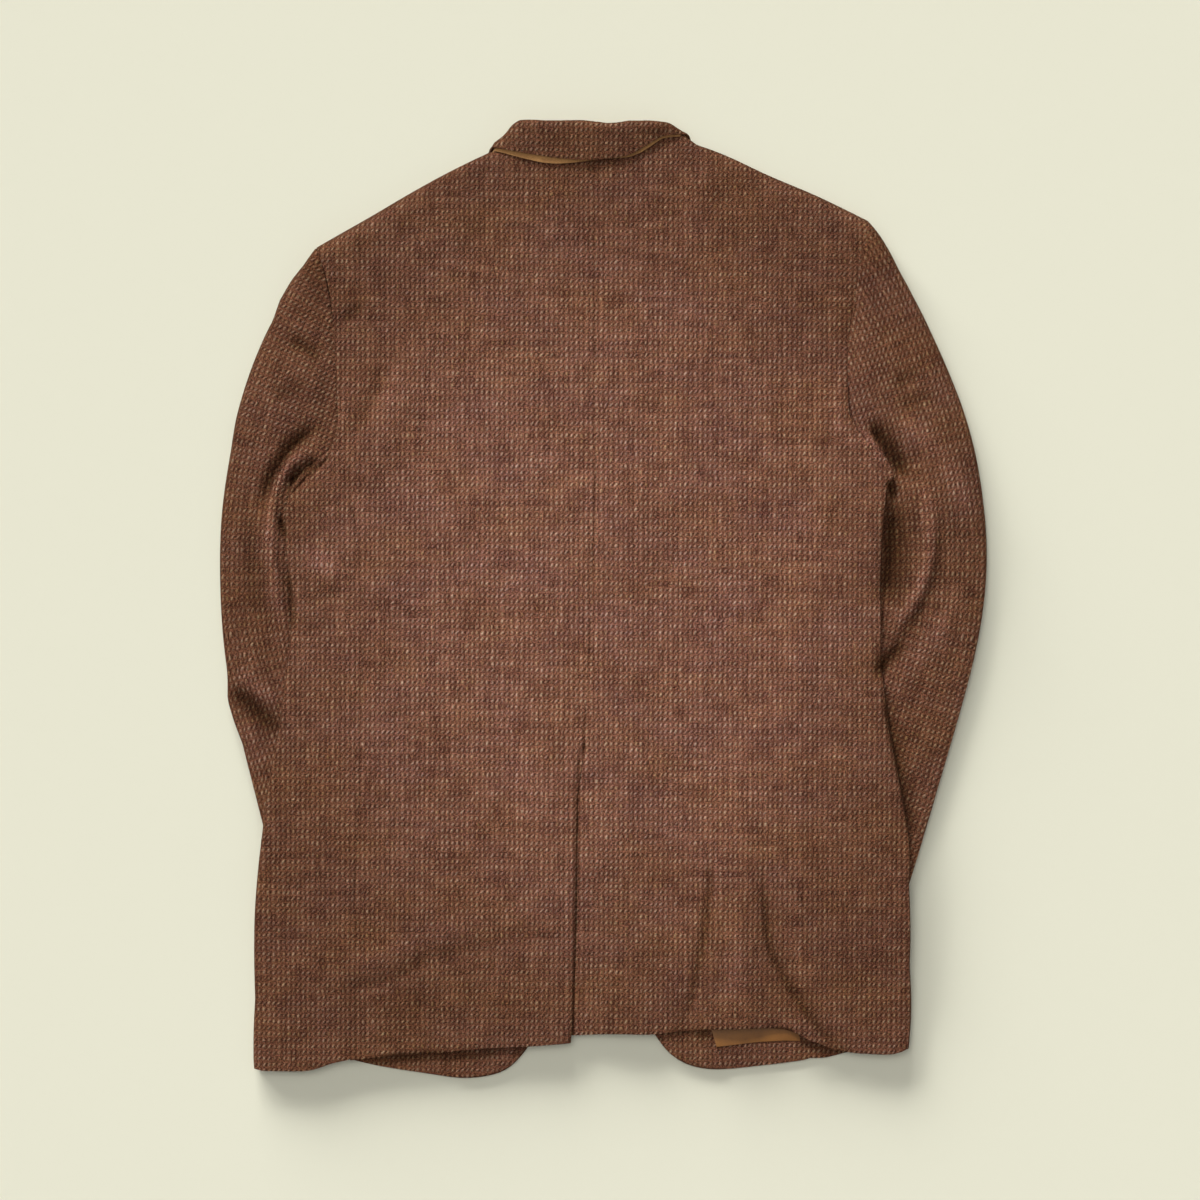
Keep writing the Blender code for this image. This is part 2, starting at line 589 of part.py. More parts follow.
jacket = bpy.data.collections.new("hacking_jacket")
finishes = {}
for item in list(bpy.data.objects):
    bpy.data.objects.remove(item, do_unlink=True)
bpy.context.scene.collection.children.link(jacket)
for finish, (colour, roughness) in MATERIALS.items():
    made = bpy.data.materials.new(finish)
    made.use_nodes = True
    made.node_tree.nodes["Principled BSDF"].inputs["Base Color"].default_value = colour
    made.node_tree.nodes["Principled BSDF"].inputs["Roughness"].default_value = roughness
    finishes[finish] = made

props = {}
for half in (LEFT, RIGHT):
    half["sleeve_plan"] = sleeve_plan(half)
    half["shoulder_line"] = along(half["shoulder"], even(8))
    half["lapel_plan"] = patch(along(half["gorge"], even(4)),
                               [lerp(half["lapel"][-1], half["roll"][-1], f) for f in even(4)],
                               along(half["lapel"], even(9)), along(half["roll"], even(9)))
    props[half["side"]] = props_under(half)
# the left front lies on the buttons, and the right front on the left one where they lap
lap = [(x, y) for y in range(-240, 81, 20) for x in (-34, -16, 2)]
props[-1] += [(x, y, BUTTON_THICK + 0.7) for x, y in lap]
props[1] += [(x, y, BUTTON_THICK + 0.7 + WALL + 0.9) for x, y in lap]
props["all"] = props[-1] + props[1]

for half, ending in ((LEFT, "left"), (RIGHT, "right")):
    back_plan, front_plan = body_plans(half)
    back, back_way = panel(half, back_plan, 0)
    front, front_way = panel(half, front_plan, 1)
    cloth("back_" + ending, back, turned(back, back_way, WALL), "tweed")
    cloth("front_" + ending, front, turned(front, front_way, WALL), "tweed")
    side_body(half, ending)
    half["armhole_edge"] = [
        ((back[i][0][2], back_way[i][0]), (front[i][0][2], front_way[i][0]))
        for i in range(len(ARMHOLE_ROWS))]
    sleeve_pieces(half, ending)
    last, rows = len(front[0]) - 1, len(front)
    laid_on(front, range(rows - 3, rows), range(last, FACING_COLUMN - 1, -1), SEAM, FACING_WALL,
            1.2, "facing_" + ending, "tweed")
    if half is RIGHT:
        laid_on(front, range(rows - 3, rows - 1), range(FACING_COLUMN, LINING_COLUMN - 1, -1),
                SEAM, FACING_WALL, 0.2, "lining_right", "lining")
    lapel = [[(x, y, LAPEL_WALL) for x, y in row] for row in half["lapel_plan"]]
    flat = [[(x, y, 0.0) for x, y in row] for row in half["lapel_plan"]]
    cloth("lapel_" + ending, lapel, flat, "tweed")
collar_pieces()

for number, (x, y) in enumerate(BUTTONS, 1):
    bpy.ops.mesh.primitive_cylinder_add(vertices=16, radius=BUTTON_RADIUS * MM,
                                        depth=BUTTON_THICK * MM,
                                        location=(x * MM, y * MM, BUTTON_THICK / 2 * MM))
    button = bpy.context.object
    button.name = "button_" + str(number)
    rim = button.modifiers.new("rim", "BEVEL")
    rim.width, rim.segments = 0.8 * MM, 1
    button.data.materials.append(finishes["horn"])
    for other in button.users_collection:
        other.objects.unlink(button)
    jacket.objects.link(button)

# the middle of the jacket's box at the origin, resting on z = 0
bpy.context.view_layer.update()
corners = [item.matrix_world @ Vector(c) for item in jacket.objects for c in item.bound_box]
lowest = [min(c[k] for c in corners) for k in range(3)]
highest = [max(c[k] for c in corners) for k in range(3)]
shift = Vector((-(lowest[0] + highest[0]) / 2, -(lowest[1] + highest[1]) / 2, -lowest[2]))
print("shift", [round(v / MM, 3) for v in shift])
for item in jacket.objects:
    place = item.matrix_world.copy()
    place.translation += shift
    item.data.transform(place)
    item.matrix_world.identity()
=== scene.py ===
import math
from functools import partial

import bpy
import numpy as np
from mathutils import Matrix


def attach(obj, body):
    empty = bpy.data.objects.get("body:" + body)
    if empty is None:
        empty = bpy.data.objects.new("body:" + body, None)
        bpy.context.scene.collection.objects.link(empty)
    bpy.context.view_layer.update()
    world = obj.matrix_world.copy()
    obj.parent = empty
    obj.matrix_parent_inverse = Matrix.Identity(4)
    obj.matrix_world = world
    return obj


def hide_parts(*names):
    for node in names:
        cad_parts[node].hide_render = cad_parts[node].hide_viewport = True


# A tweed jacket lying on its front, back up. The cloth starts as a smooth copy of each packed
# piece; creases, seams and hems are then pressed into all of its layers together.
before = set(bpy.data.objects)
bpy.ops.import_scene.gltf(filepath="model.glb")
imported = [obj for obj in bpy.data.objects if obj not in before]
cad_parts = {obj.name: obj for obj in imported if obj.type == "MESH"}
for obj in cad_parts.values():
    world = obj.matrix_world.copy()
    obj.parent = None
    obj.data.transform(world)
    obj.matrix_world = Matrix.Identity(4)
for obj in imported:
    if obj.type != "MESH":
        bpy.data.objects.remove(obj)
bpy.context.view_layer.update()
mm = 0.001

cloth = {
    "levels": 3,             # smoothing of what shows
    "hiddenLevels": 2,
    "held": 58.0,            # degrees, edges that turn more than this stay crisp
    "rim": 0.55,             # mm, the rounding of a cut or folded edge
    "rimTurn": 50.0,         # degrees
    "rimSteps": 2,
    "close": 0.4,            # mm, how far edges swell to meet at the seams
    "floorEase": 9.0,        # mm, creases fade out toward the surface below
    "fade": 0.3,             # share of a crease's length over which each end runs out
    "profile": 1.7,          # section of a crease: 2 is round, 1 is a sharp fold
    "deepest": -9.5,         # mm, where several creases meet
    "broadWave": 0.35,       # mm, the slack that is left between the creases
    "fineWave": 0.22,
}

# Creases: points along each in mm, height (in is minus), width on the left and on the right of it
creases = {
    # left armpit, sleeve and side
    "leftArmpitFold": (((-239, 152), (-255, 144), (-269, 133), (-282, 115), (-292, 94),
        (-298, 72)), -8.5, 4, 5),
    "leftArmpitRidge": (((-230, 139), (-249, 132), (-266, 122), (-280, 103), (-286, 79), (-286, 34),
        (-281, -10), (-277, -48)), 4.0, 5, 6),
    "leftInnerFold": (((-244, 122), (-257, 113), (-267, 106), (-275, 93)), -8.0, 3.5, 3.5),
    "leftEdgeLine": (((-232, 126), (-249, 112), (-263, 98), (-275, 83)), -4.0, 1.8, 1.8),
    "leftNotch": (((-281, 75), (-278, 63), (-274, 50)), -5.5, 2.5, 2.5),
    "leftEdgeHollow": (((-275, 29), (-271, 6), (-269, -11), (-269, -35)), -4.0, 2.5, 3),
    "leftOuterTrough": (((-303, 86), (-305, 42), (-300, -1), (-293, -35)), -2.4, 8, 8),
    "leftElbowCrease": (((-327, -75), (-312, -88), (-297, -102), (-277, -120)), -7.5, 7, 6),
    "leftElbowRidge": (((-322, -60), (-303, -77), (-279, -93)), 2.6, 7, 7),
    "leftElbowLow": (((-319, -101), (-306, -124), (-296, -152)), 1.8, 7, 7),
    "leftSleeveDrag": (((-275, 224), (-260, 217), (-242, 205)), -4.2, 5, 4),
    "leftSleeveDragTwo": (((-228, 238), (-218, 247), (-206, 255)), -3.4, 4, 4),
    "leftSleeveDragThree": (((-289, 171), (-274, 179), (-254, 184)), -2.6, 6, 5),
    "leftBladeDrag": (((-187, 209), (-197, 181), (-208, 158), (-223, 133)), -2.0, 6, 9),
    "leftBladeRidge": (((-175, 207), (-183, 179), (-194, 150)), 1.1, 9, 9),
    "leftSideBump": (((-258, 44), (-244, 32), (-230, 13)), 2.6, 10, 9),
    "leftSideDip": (((-263, -4), (-244, 3), (-224, 8)), -1.2, 6, 6),
    "leftTipDrag": (((-263, 292), (-248, 275), (-237, 254)), -1.5, 6, 6),
    # right armpit, sleeve and side
    "rightArmpitFold": (((227, 154), (238, 139), (248, 125), (256, 113), (266, 102)), -11.0, 8, 3),
    "rightCornerLift": (((218, 155), (231, 139), (242, 124), (249, 110)), 3.0, 2.5, 9),
    "rightArmpitRidge": (((236, 165), (256, 152), (277, 138), (296, 117), (312, 86), (315, 60)), 3.0, 8, 9),
    "rightHollow": (((249, 94), (250, 60), (248, 21), (243, -13)), -8.5, 14, 7),
    "rightNotch": (((243, 103), (250, 94), (248, 84)), -6.0, 3, 3),
    "rightEdgeHollow": (((239, -63), (244, -92), (253, -135), (262, -178), (271, -228)), -5.5, 7, 2.5),
    "rightSleeveRidge": (((260, 105), (276, 91), (283, 61), (281, 25), (265, -10), (244, -32)), 5.5, 6, 6),
    "rightSleeveTrough": (((291, 81), (290, 42), (282, 6), (263, -27), (243, -53)), -3.2, 6, 6),
    "rightElbowPit": (((264, -36), (254, -46), (243, -56), (232, -70)), -7.6, 6, 5),
    "rightSleeveRidgeTwo": (((310, 34), (300, -10), (277, -46), (253, -79)), 1.6, 8, 8),
    "rightSleeveDrag": (((248, 183), (262, 190), (277, 195)), -3.2, 4, 5),
    "rightSleeveDragTwo": (((253, 162), (270, 172), (288, 178)), -2.2, 5, 5),
    "rightBackDrag": (((206, 197), (201, 164), (210, 138), (227, 115)), 1.6, 6, 7),
    # the hem and the pleats that open it
    "hemTroughInner": (((94, -198), (91, -261), (84, -313), (75, -351), (62, -385)), -3.4, 2.6, 4),
    "hemTroughOuter": (((134, -210), (139, -261), (144, -304), (158, -333), (175, -359), (201, -389),
        (239, -427)), -3.9, 4, 2.6),
    "hemRidgeMiddle": (((116, -261), (114, -313), (116, -356), (121, -373)), 1.6, 12, 12),
    "hemRidgeOuter": (((156, -261), (166, -304), (185, -339), (210, -373)), 1.3, 9, 9),
    "hemRidgeInner": (((75, -261), (68, -313), (56, -356)), 1.0, 9, 9),
    "liningCrease": (((121, -374), (124, -392)), -2.6, 1.6, 2.4),
    "leftHemCrease": (((-253, -344), (-222, -335), (-183, -326), (-151, -309), (-116, -300),
        (-73, -292)), -2.6, 4, 6),
    "leftHemUnder": (((-249, -404), (-224, -403), (-183, -397), (-151, -395), (-107, -394), (-64, -392),
        (-28, -389)), -3.0, 1.5, 6),
    "rightHemUnder": (((38, -376), (75, -376), (109, -375), (157, -374), (172, -383), (196, -391),
        (229, -397)), -3.2, 1.5, 6),
    "leftHemRidge": (((-237, -320), (-202, -311), (-159, -294)), 1.1, 8, 8),
    # faint ones across the shoulders
    "blade": (((-109, 333), (-116, 307), (-131, 292)), -0.7, 9, 9),
    "bladeArch": (((-90, 214), (-71, 221), (-48, 221), (-28, 214)), -0.7, 8, 7),
    "rightShoulderLine": (((87, 398), (80, 354), (68, 302), (62, 259)), 0.6, 8, 7),
    "neckDrag": (((-112, 380), (-106, 346), (-111, 311)), -0.5, 10, 10),
}

# Pressed seams: points along each, depth and half width
seams = {
    "centreBack": (((-12, 378), (-7, 287), (-6, 243), (-8, 171), (-7, 115), (-10, -1), (-14, -87),
        (-17, -135)), -0.95, 1.5),
    "vent": (((-17, -126), (-22, -154), (-23, -188), (-23, -238), (-25, -301), (-26, -364),
        (-28, -384)), -3.5, 1.5),
    "leftArmhole": (((-248, 304), (-241, 276), (-235, 252), (-235, 218), (-230, 172),
        (-235, 129)), -0.8, 1.9),
    "rightArmhole": (((227, 326), (219, 294), (216, 249), (210, 207), (209, 181), (213, 155),
        (224, 138)), -0.5, 2.2),
    "leftSide": (((-221, 112), (-217, 77), (-210, -1), (-209, -87), (-211, -174), (-214, -261),
        (-215, -396)), -0.9, 1.5),
    "rightSide": (((199, 126), (196, 68), (189, -1), (183, -87), (175, -165), (172, -261),
        (175, -347)), -0.6, 1.8),
}

# Small moves of the outline, in mm: pieces, axis moved, axis read along, (place, move) pairs,
# and where the move fades in: (axis, none here, all here)
reshaped = {
    "collarEnds": (("collar", "under_collar"), "x", "x",
        ((-116, 12.1), (-107, 9.5), (-100, 5.6), (-90, 5.2), (-81, 3.5), (-64, 1.7), (-51, 0), (31, 0),
         (57, -6.9), (75, -9.5), (83, -12.6), (92, -16), (101, -19.1)), ()),
    "underCollarEnds": (("under_collar",), "x", "x",
        ((-104, 4.3), (-98, 2.2), (-94, 0.9), (-90, 0), (66, 0), (70, -0.9), (76, -3.5), (83, -5.2)),
        ()),
    "collarPeak": (("collar", "under_collar"), "y", "x",
        ((21, 0), (31, 2.6), (37, 4.3), (50, 6.9), (65, 5.6), (71, 4.3), (79, 2.6)),
        (("y", 413, 391), ("z", 4, 9))),
    "underCollarEdge": (("under_collar",), "y", "x",
        ((-99, 0), (-90, -0.9), (-73, -2.2), (-55, -3.5), (-42, -3), (-25, -0.4), (-16, 1.3), (-3, 2.6),
         (14, 1.7), (27, -0.4), (40, -1.7), (57, -1.7), (66, -0.4), (75, 2.6)),
        (("y", 402, 385), ("z", 4, 9))),
    "collarFall": (("collar", "under_collar"), "y", "x",
        ((-94, 0), (-83, 1.3), (-73, 2.6), (-62, 0.9), (-51, -0.9), (-38, -1.7), (-18, -2.2),
         (-7, -3.5), (3, -4.8), (12, -4.3), (21, -2.6), (31, -2.6), (44, -1.7), (56, 0)),
        (("y", 399, 413),)),
    "rightHemCorner": (("side_right",), "y", "x",
        ((170, -15.6), (180, -15.6), (192, -12.1), (203, -6.9), (214, -2.2), (224, 0)),
        (("y", -300, -380), ("z", 5, 2))),
    "rightHemOuter": (("side_right",), "y", "x",
        ((187, 0), (200, -2.6), (214, -2.2), (231, -2.2), (243, -3), (252, -3), (259, -1.7), (263, 0),
         (267, 2.6)), (("y", -330, -390), ("z", 2, 5))),
    "leftHemCorner": (("side_left",), "y", "x",
        ((-306, -3), (-303, -4.8), (-299, -6.5), (-293, -7.4), (-280, -5.6), (-254, -3), (-236, 0.9)),
        (("y", -330, -395),)),
    "rightHemSide": (("side_right", "front_right"), "x", "y",
        ((-391, -1.3), (-365, -0.4), (-347, -0.9), (-317, -3.5), (-295, -3), (-243, -3), (-235, -1.7),
         (-209, 0)), (("x", 180, 262),)),
    "leftSleeveCap": (("top_sleeve_left",), "x", "y",
        ((129, -0.4), (155, -1.7), (242, -1.7), (259, -4.3), (276, -3.5), (289, -0.9)),
        (("x", -228, -263),)),
    "leftElbow": (("top_sleeve_left",), "x", "y",
        ((-126, 0), (-105, -3), (-87, -4.3), (-79, -2.6), (-70, -0.9), (-61, 0)), (("x", -290, -318),)),
    "rightSleeveCap": (("top_sleeve_right",), "x", "y",
        ((86, 0), (129, 0.9), (172, 1.7), (272, 1.7), (285, 0)), (("x", 240, 280),)),
    "leftHemSide": (("side_left",), "x", "y",
        ((-399, -3.9), (-382, -3), (-365, -1.7), (-347, 0)), (("x", -270, -300),)),
    "rightFrontCorner": (("front_right",), "x", "y",
        ((-404, 6.9), (-382, 5.2), (-365, 0)), (("x", 160, 174),)),
    "rightHemInner": (("side_right",), "x", "y",
        ((-404, -5.2), (-382, -3.5), (-365, 0)), (("x", 192, 178), ("z", 5, 2))),
    "rightArmpit": (("side_right",), "x", "y",
        ((-18, 0), (25, -2.6), (60, -4.3), (91, -4.3), (98, -1.7), (107, 6.1), (122, 5.2), (138, 2.6),
         (151, 0)), (("x", 224, 237),)),
    "backNeck": (("back_right",), "y", "x",
        ((21, 0), (36, 4.3), (49, 7.8), (66, 7.8), (74, 3.5), (81, 0)), (("y", 363, 389),)),
    "liningEdge": (("lining_right",), "y", "x",
        ((106, -5.6), (135, -5.2), (157, -6.5), (166, -8.7)), (("y", -360, -378),)),
    "liningEnd": (("lining_right",), "x", "x",
        ((157, 0), (166, 7.8)), ()),
}

# Where cloth is eased across to close on its neighbour: centre, reach and shift, in mm
eased = {
    "top_sleeve_right": ((212, 158), 24, (-4.5, 0)),
    "back_right": ((208, 150), 20, (2.5, 0)),
    "side_right": ((224, 142), 20, (-3.0, 1.0)),
}


def easeIn(t):
    t = np.clip(t, 0.0, 1.0)
    return t * t * (3.0 - 2.0 * t)


def softLine(points, steps=6):
    # a smooth curve through the points
    line = []
    for i in range(len(points) - 1):
        a, b = np.array(points[max(i - 1, 0)], float), np.array(points[i], float)
        c, d = np.array(points[i + 1], float), np.array(points[min(i + 2, len(points) - 1)], float)
        for k in range(steps):
            t = k / steps
            line.append(0.5 * (2 * b + (c - a) * t + (2 * a - 5 * b + 4 * c - d) * t * t
                               + (3 * b - a - 3 * c + d) * t ** 3))
    line.append(np.array(points[-1], float))
    return np.array(line)


def fromLine(x, y, line):
    # nearest distance, which side of the line, the share of its length there, and that length
    steps = np.hypot(*np.diff(line, axis=0).T)
    marks = np.concatenate([[0.0], np.cumsum(steps)])
    best = np.full(len(x), 1e9)
    side, share = np.zeros(len(x)), np.zeros(len(x))
    for i, step in enumerate(steps):
        dx, dy = (line[i + 1] - line[i]) / step
        px, py = x - line[i][0], y - line[i][1]
        f = np.clip(px * dx + py * dy, 0.0, step)
        distance = np.hypot(px - f * dx, py - f * dy)
        nearer = distance < best
        best = np.where(nearer, distance, best)
        side = np.where(nearer, np.sign(dx * py - dy * px), side)
        share = np.where(nearer, (marks[i] + f) / marks[-1], share)
    return best, side, share, marks[-1]


def pressed(x, y):
    # how far creases and seams push the cloth up or down at each place, and its slack, in mm
    folds = np.zeros(len(x))
    for points, height, wideLeft, wideRight in creases.values():
        distance, side, share, _ = fromLine(x, y, softLine(points))
        wide = np.where(side > 0, wideLeft, wideRight)
        ends = easeIn(share / cloth["fade"]) * easeIn((1.0 - share) / cloth["fade"])
        folds += height * ends * np.exp(-(distance / wide) ** cloth["profile"])
    for points, height, wide in seams.values():
        distance, _, _, _ = fromLine(x, y, softLine(points))
        folds += height * np.exp(-(distance / wide) ** 2)
    folds = np.maximum(folds, cloth["deepest"])
    # waves that bend one another, so that none repeats
    broad = np.sin(x / 17.0 + 1.3 * np.sin(y / 41.0)) * np.sin(y / 29.0 + 1.1 * np.sin(x / 37.0))
    fine = np.sin((x + 0.5 * y) / 9.0 + 1.7 * np.sin(y / 23.0)) * np.sin((y - 0.4 * x) / 13.0)
    return folds, cloth["broadWave"] * broad + cloth["fineWave"] * fine


def coordsOf(piece):
    flat = np.empty(len(piece.data.vertices) * 3)
    piece.data.vertices.foreach_get("co", flat)
    return flat.reshape(-1, 3) / mm


def normalsOf(piece):
    flat = np.empty(len(piece.data.vertices) * 3)
    piece.data.vertices.foreach_get("normal", flat)
    return flat.reshape(-1, 3)


def placeCoords(piece, coords):
    piece.data.vertices.foreach_set("co", (coords * mm).ravel())
    piece.data.update()


def onlySelect(piece):
    bpy.ops.object.select_all(action="DESELECT")
    piece.select_set(True)
    bpy.context.view_layer.objects.active = piece


def smoothCopy(node, levels):
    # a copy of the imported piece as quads, with its rims held and its faces smoothed
    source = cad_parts[node]
    piece = bpy.data.objects.new("cloth_" + node, source.data.copy())
    bpy.context.scene.collection.objects.link(piece)
    piece.data.materials.clear()
    onlySelect(piece)
    bpy.ops.object.mode_set(mode="EDIT")
    bpy.ops.mesh.select_mode(type="EDGE")
    bpy.ops.mesh.select_all(action="SELECT")
    bpy.ops.mesh.remove_doubles(threshold=1e-6)
    bpy.ops.mesh.tris_convert_to_quads(face_threshold=math.pi, shape_threshold=math.pi,
                                       topology_influence=1.0)
    bpy.ops.mesh.select_all(action="DESELECT")
    bpy.ops.mesh.edges_select_sharp(sharpness=math.radians(cloth["held"]))
    bpy.ops.transform.edge_crease(value=1.0)
    bpy.ops.object.mode_set(mode="OBJECT")
    smoother = piece.modifiers.new("smoother", "SUBSURF")
    smoother.levels = smoother.render_levels = levels
    bpy.ops.object.modifier_apply(modifier="smoother")
    return piece


def shapeCloth(piece, node):
    # the outline first, then the creases, less of them the nearer the cloth is to the surface
    coords = coordsOf(piece)
    if node in eased:
        centre, reach, shift = eased[node]
        near = easeIn(1.0 - np.hypot(coords[:, 0] - centre[0], coords[:, 1] - centre[1]) / reach)
        coords[:, :2] += near[:, None] * np.array(shift)
    place = dict(zip("xyz", coords.T))
    for names, axis, along, moves, fades in reshaped.values():
        if node not in names:
            continue
        move = np.interp(place[along], *np.array(moves, float).T)
        for other, none, full in fades:
            move = move * easeIn((place[other] - none) / (full - none))
        place[axis] += move
    coords[:, :2] += cloth["close"] * normalsOf(piece)[:, :2]
    folds, slack = pressed(coords[:, 0], coords[:, 1])
    coords[:, 2] += (folds + slack) * np.tanh(coords[:, 2] / cloth["floorEase"])
    placeCoords(piece, coords)


def roundRims(piece):
    rim = piece.modifiers.new("rim", "BEVEL")
    rim.width, rim.segments = cloth["rim"] * mm, cloth["rimSteps"]
    rim.limit_method, rim.angle_limit = "ANGLE", math.radians(cloth["rimTurn"])
    onlySelect(piece)
    bpy.ops.object.modifier_apply(modifier="rim")
    bpy.ops.object.shade_smooth()


# painted light and shade, kept on each vertex and multiplied into the tweed's colour
paintedLight = {
    "centre": (-12.0, 15.0), "reach": (300.0, 385.0),   # mm, the middle of the back, painted paler as if more brightly lit there
    "spread": 1.15,          # how far past that reach the cloth is at its darkest
    "least": 0.64,           # how dark that is
    "rim": 0.30,             # painted shade: how much darker the cloth is where it turns away at an edge
    "rimFrom": 0.92, "rimOver": 0.7,   # how level it is where that starts, and over what change
    "creaseShade": 0.135,         # painted shade for each mm down in a crease
    "ridgeHighlight": 2.0,            # mm, the painted highlight on a ridge grows no paler above this height
    "sleeve": {"left": 0.96, "right": 1.03},
}


def toneOn(piece, node):
    # painted light and shade: paler in the middle of the back as if more brightly lit, painted shade at
    # edges that turn away and in creases, a painted highlight on ridges, and each sleeve a little darker or
    # paler
    x, y, _ = coordsOf(piece).T
    (cx, cy), (rx, ry) = paintedLight["centre"], paintedLight["reach"]
    # painted light: paler toward the middle of the back, painted shade farther out
    far = ((x - cx) / rx) ** 2 + ((y - cy) / ry) ** 2
    shade = 1.0 - (1.0 - paintedLight["least"]) * easeIn(far / paintedLight["spread"])
    # painted shade where the cloth turns away at an edge
    turned = easeIn((paintedLight["rimFrom"] - np.abs(normalsOf(piece)[:, 2])) / paintedLight["rimOver"])
    shade *= 1.0 - paintedLight["rim"] * turned
    # painted shade in creases and a painted highlight on ridges
    folds, _ = pressed(x, y)
    shade *= np.exp(paintedLight["creaseShade"] * np.minimum(folds, paintedLight["ridgeHighlight"]))
    if "sleeve" in node:
        shade *= paintedLight["sleeve"][node.split("_")[-1]]
    made = piece.data.attributes.new("paintedLight", "FLOAT", "POINT")
    made.data.foreach_set("value", shade.astype(np.float32))


# the warp's way down each sleeve, in mm
sleeveAxis = {
    "left": ((-120, 372), (-196, 288), (-246, 190), (-272, 90), (-276, -10), (-258, -90), (-230, -170),
             (-200, -260), (-184, -330)),
    "right": ((104, 392), (180, 300), (234, 196), (262, 90), (264, -10), (246, -90), (222, -170),
              (190, -250), (168, -310)),
}

wrap = {
    "cell": 8.0,             # mm, the grid on which a piece's own top is looked up
    "step": 0.5,             # mm, over which the threads' turning is measured
    "from": 0.75, "over": 0.5,   # how level the cloth is where its threads start to go down
}


def threadsAt(node, x, y):
    # mm across and along the threads: they follow the back, and turn with each sleeve
    if "sleeve" not in node:
        return x, y
    distance, side, share, length = fromLine(x, y, softLine(sleeveAxis[node.split("_")[-1]]))
    return distance * side, -share * length


def topNear(x, y, z):
    # the height of the piece's top round each place, evened out over nine cells
    i = ((x - x.min()) / wrap["cell"]).astype(int) + 2
    j = ((y - y.min()) / wrap["cell"]).astype(int) + 2
    tops = np.full((i.max() + 3, j.max() + 3), -1.0)
    np.maximum.at(tops, (i, j), z)
    turns = [(a, b) for a in (-1, 0, 1) for b in (-1, 0, 1)]
    tops = np.max([np.roll(tops, turn, (0, 1)) for turn in turns], axis=0)
    filled = (tops > 0.0).astype(float)
    total = sum(np.roll(tops * filled, turn, (0, 1)) for turn in turns)
    count = sum(np.roll(filled, turn, (0, 1)) for turn in turns)
    return (total / np.maximum(count, 1.0))[i, j]


def weaveOn(piece, node):
    # threads laid flat on top, going on down each rounded edge at their own spacing
    x, y, z = coordsOf(piece).T
    normals = normalsOf(piece)
    flatU, flatV = threadsAt(node, x, y)
    u, v = flatU, flatV
    steep = easeIn((wrap["from"] - np.abs(normals[:, 2])) / wrap["over"])
    down = (topNear(x, y, z) - z) * steep
    step = wrap["step"]
    for axis, beside in ((0, (x + step, y)), (1, (x, y + step))):
        nextU, nextV = threadsAt(node, *beside)
        u = u + (nextU - flatU) / step * normals[:, axis] * down
        v = v + (nextV - flatV) / step * normals[:, axis] * down
    made = piece.data.uv_layers.new(name="weave")
    corner = np.empty(len(piece.data.loops), dtype=np.int64)
    piece.data.loops.foreach_get("vertex_index", corner)
    uv = np.stack([u[corner], v[corner]], axis=1) * mm
    made.data.foreach_set("uv", uv.ravel())


def hexColour(code):
    parts = [int(code[i:i + 2], 16) / 255 for i in (1, 3, 5)]
    return tuple(c / 12.92 if c <= 0.04045 else ((c + 0.055) / 1.055) ** 2.4 for c in parts) + (1.0,)


def newMaterial(name):
    material = bpy.data.materials.new(name)
    material.use_nodes = True
    material.node_tree.nodes.clear()
    return material


def addNode(tree, kind, inputs=(), output=0, **settings):
    # inputs by number or name: a socket is linked, anything else is set
    node = tree.nodes.new("ShaderNode" + kind)
    for key, value in settings.items():
        setattr(node, key, value)
    given = inputs.items() if isinstance(inputs, dict) else enumerate(inputs)
    for slot, value in given:
        if isinstance(value, bpy.types.NodeSocket):
            tree.links.new(value, node.inputs[slot])
        else:
            node.inputs[slot].default_value = value
    return node.outputs[output] if len(node.outputs) else None


tweedLook = {
    "across": 4.3, "along": 5.35,            # mm from one fleck to the next
    "fleckWide": 1.45, "fleckLong": 2.5,     # mm from the middle of a fleck to its edge
    "gapWide": 1.2, "gapLong": 3.0,          # and of the dark between two flecks
    "slant": 0.36, "slantVaries": 0.5,       # how far a fleck leans across as it rises
    "strays": 0.5,                           # mm, how unevenly flecks sit across
    "wander": 120.0,                         # bends of the threads in a metre, and how far, in threads
    "wanderAcross": 0.8, "wanderAlong": 0.6,
    "rowRun": 0.14, "columnRun": 0.18,       # how much a yarn changes from one fleck to the next
    "fibre": 840.0,                          # tufts in a metre, coarser than wool so that they show
    "cloud": 16.0, "cloudDepth": 0.1,        # patches in a metre, and how much darker
    "batchAcross": 14.0, "batchAlong": 22.0,
    "grain": 4.6, "dye": 0.9,                # how much tufts differ in lightness and in colour
    "gap": "#3C2319", "groundDark": "#553126", "groundLight": "#986A55",
    "groundFibre": 3.4, "groundYarn": 1.0, "groundBase": -2.2,
    "gapDepth": 0.5, "gapVaries": 0.4,
    "fleckDark": "#93725E", "fleckLight": "#D6BBA4",
    "paleBase": -0.55, "paleVaries": 0.5, "paleYarn": 0.75,
    "fleckCover": 0.47, "coverVaries": 0.7,
    "mauve": "#9C8078", "ochre": "#A8834F",  # stray flecks: their share, and how strongly tinted
    "mauveShare": 0.20, "ochreShare": 0.08, "strayTint": 0.4,
    "warm": "#FFF9EC", "cool": "#FBF6FA",
    "greenDrop": 1.08, "blueDrop": 1.42,     # where the cloth is painted darker, by painted shade and its random patches, it turns warmer: green and blue go down sooner
    "lift": 1.04,
    "fleckHeight": 1.2, "gapHeight": -0.8, "bump": 0.5, "bumpShare": 0.8,   # bump in mm
    "rough": 0.95, "sheen": 0.10, "sheenRough": 0.6, "sheenTint": "#8A5F45", "specular": 0.1,
}


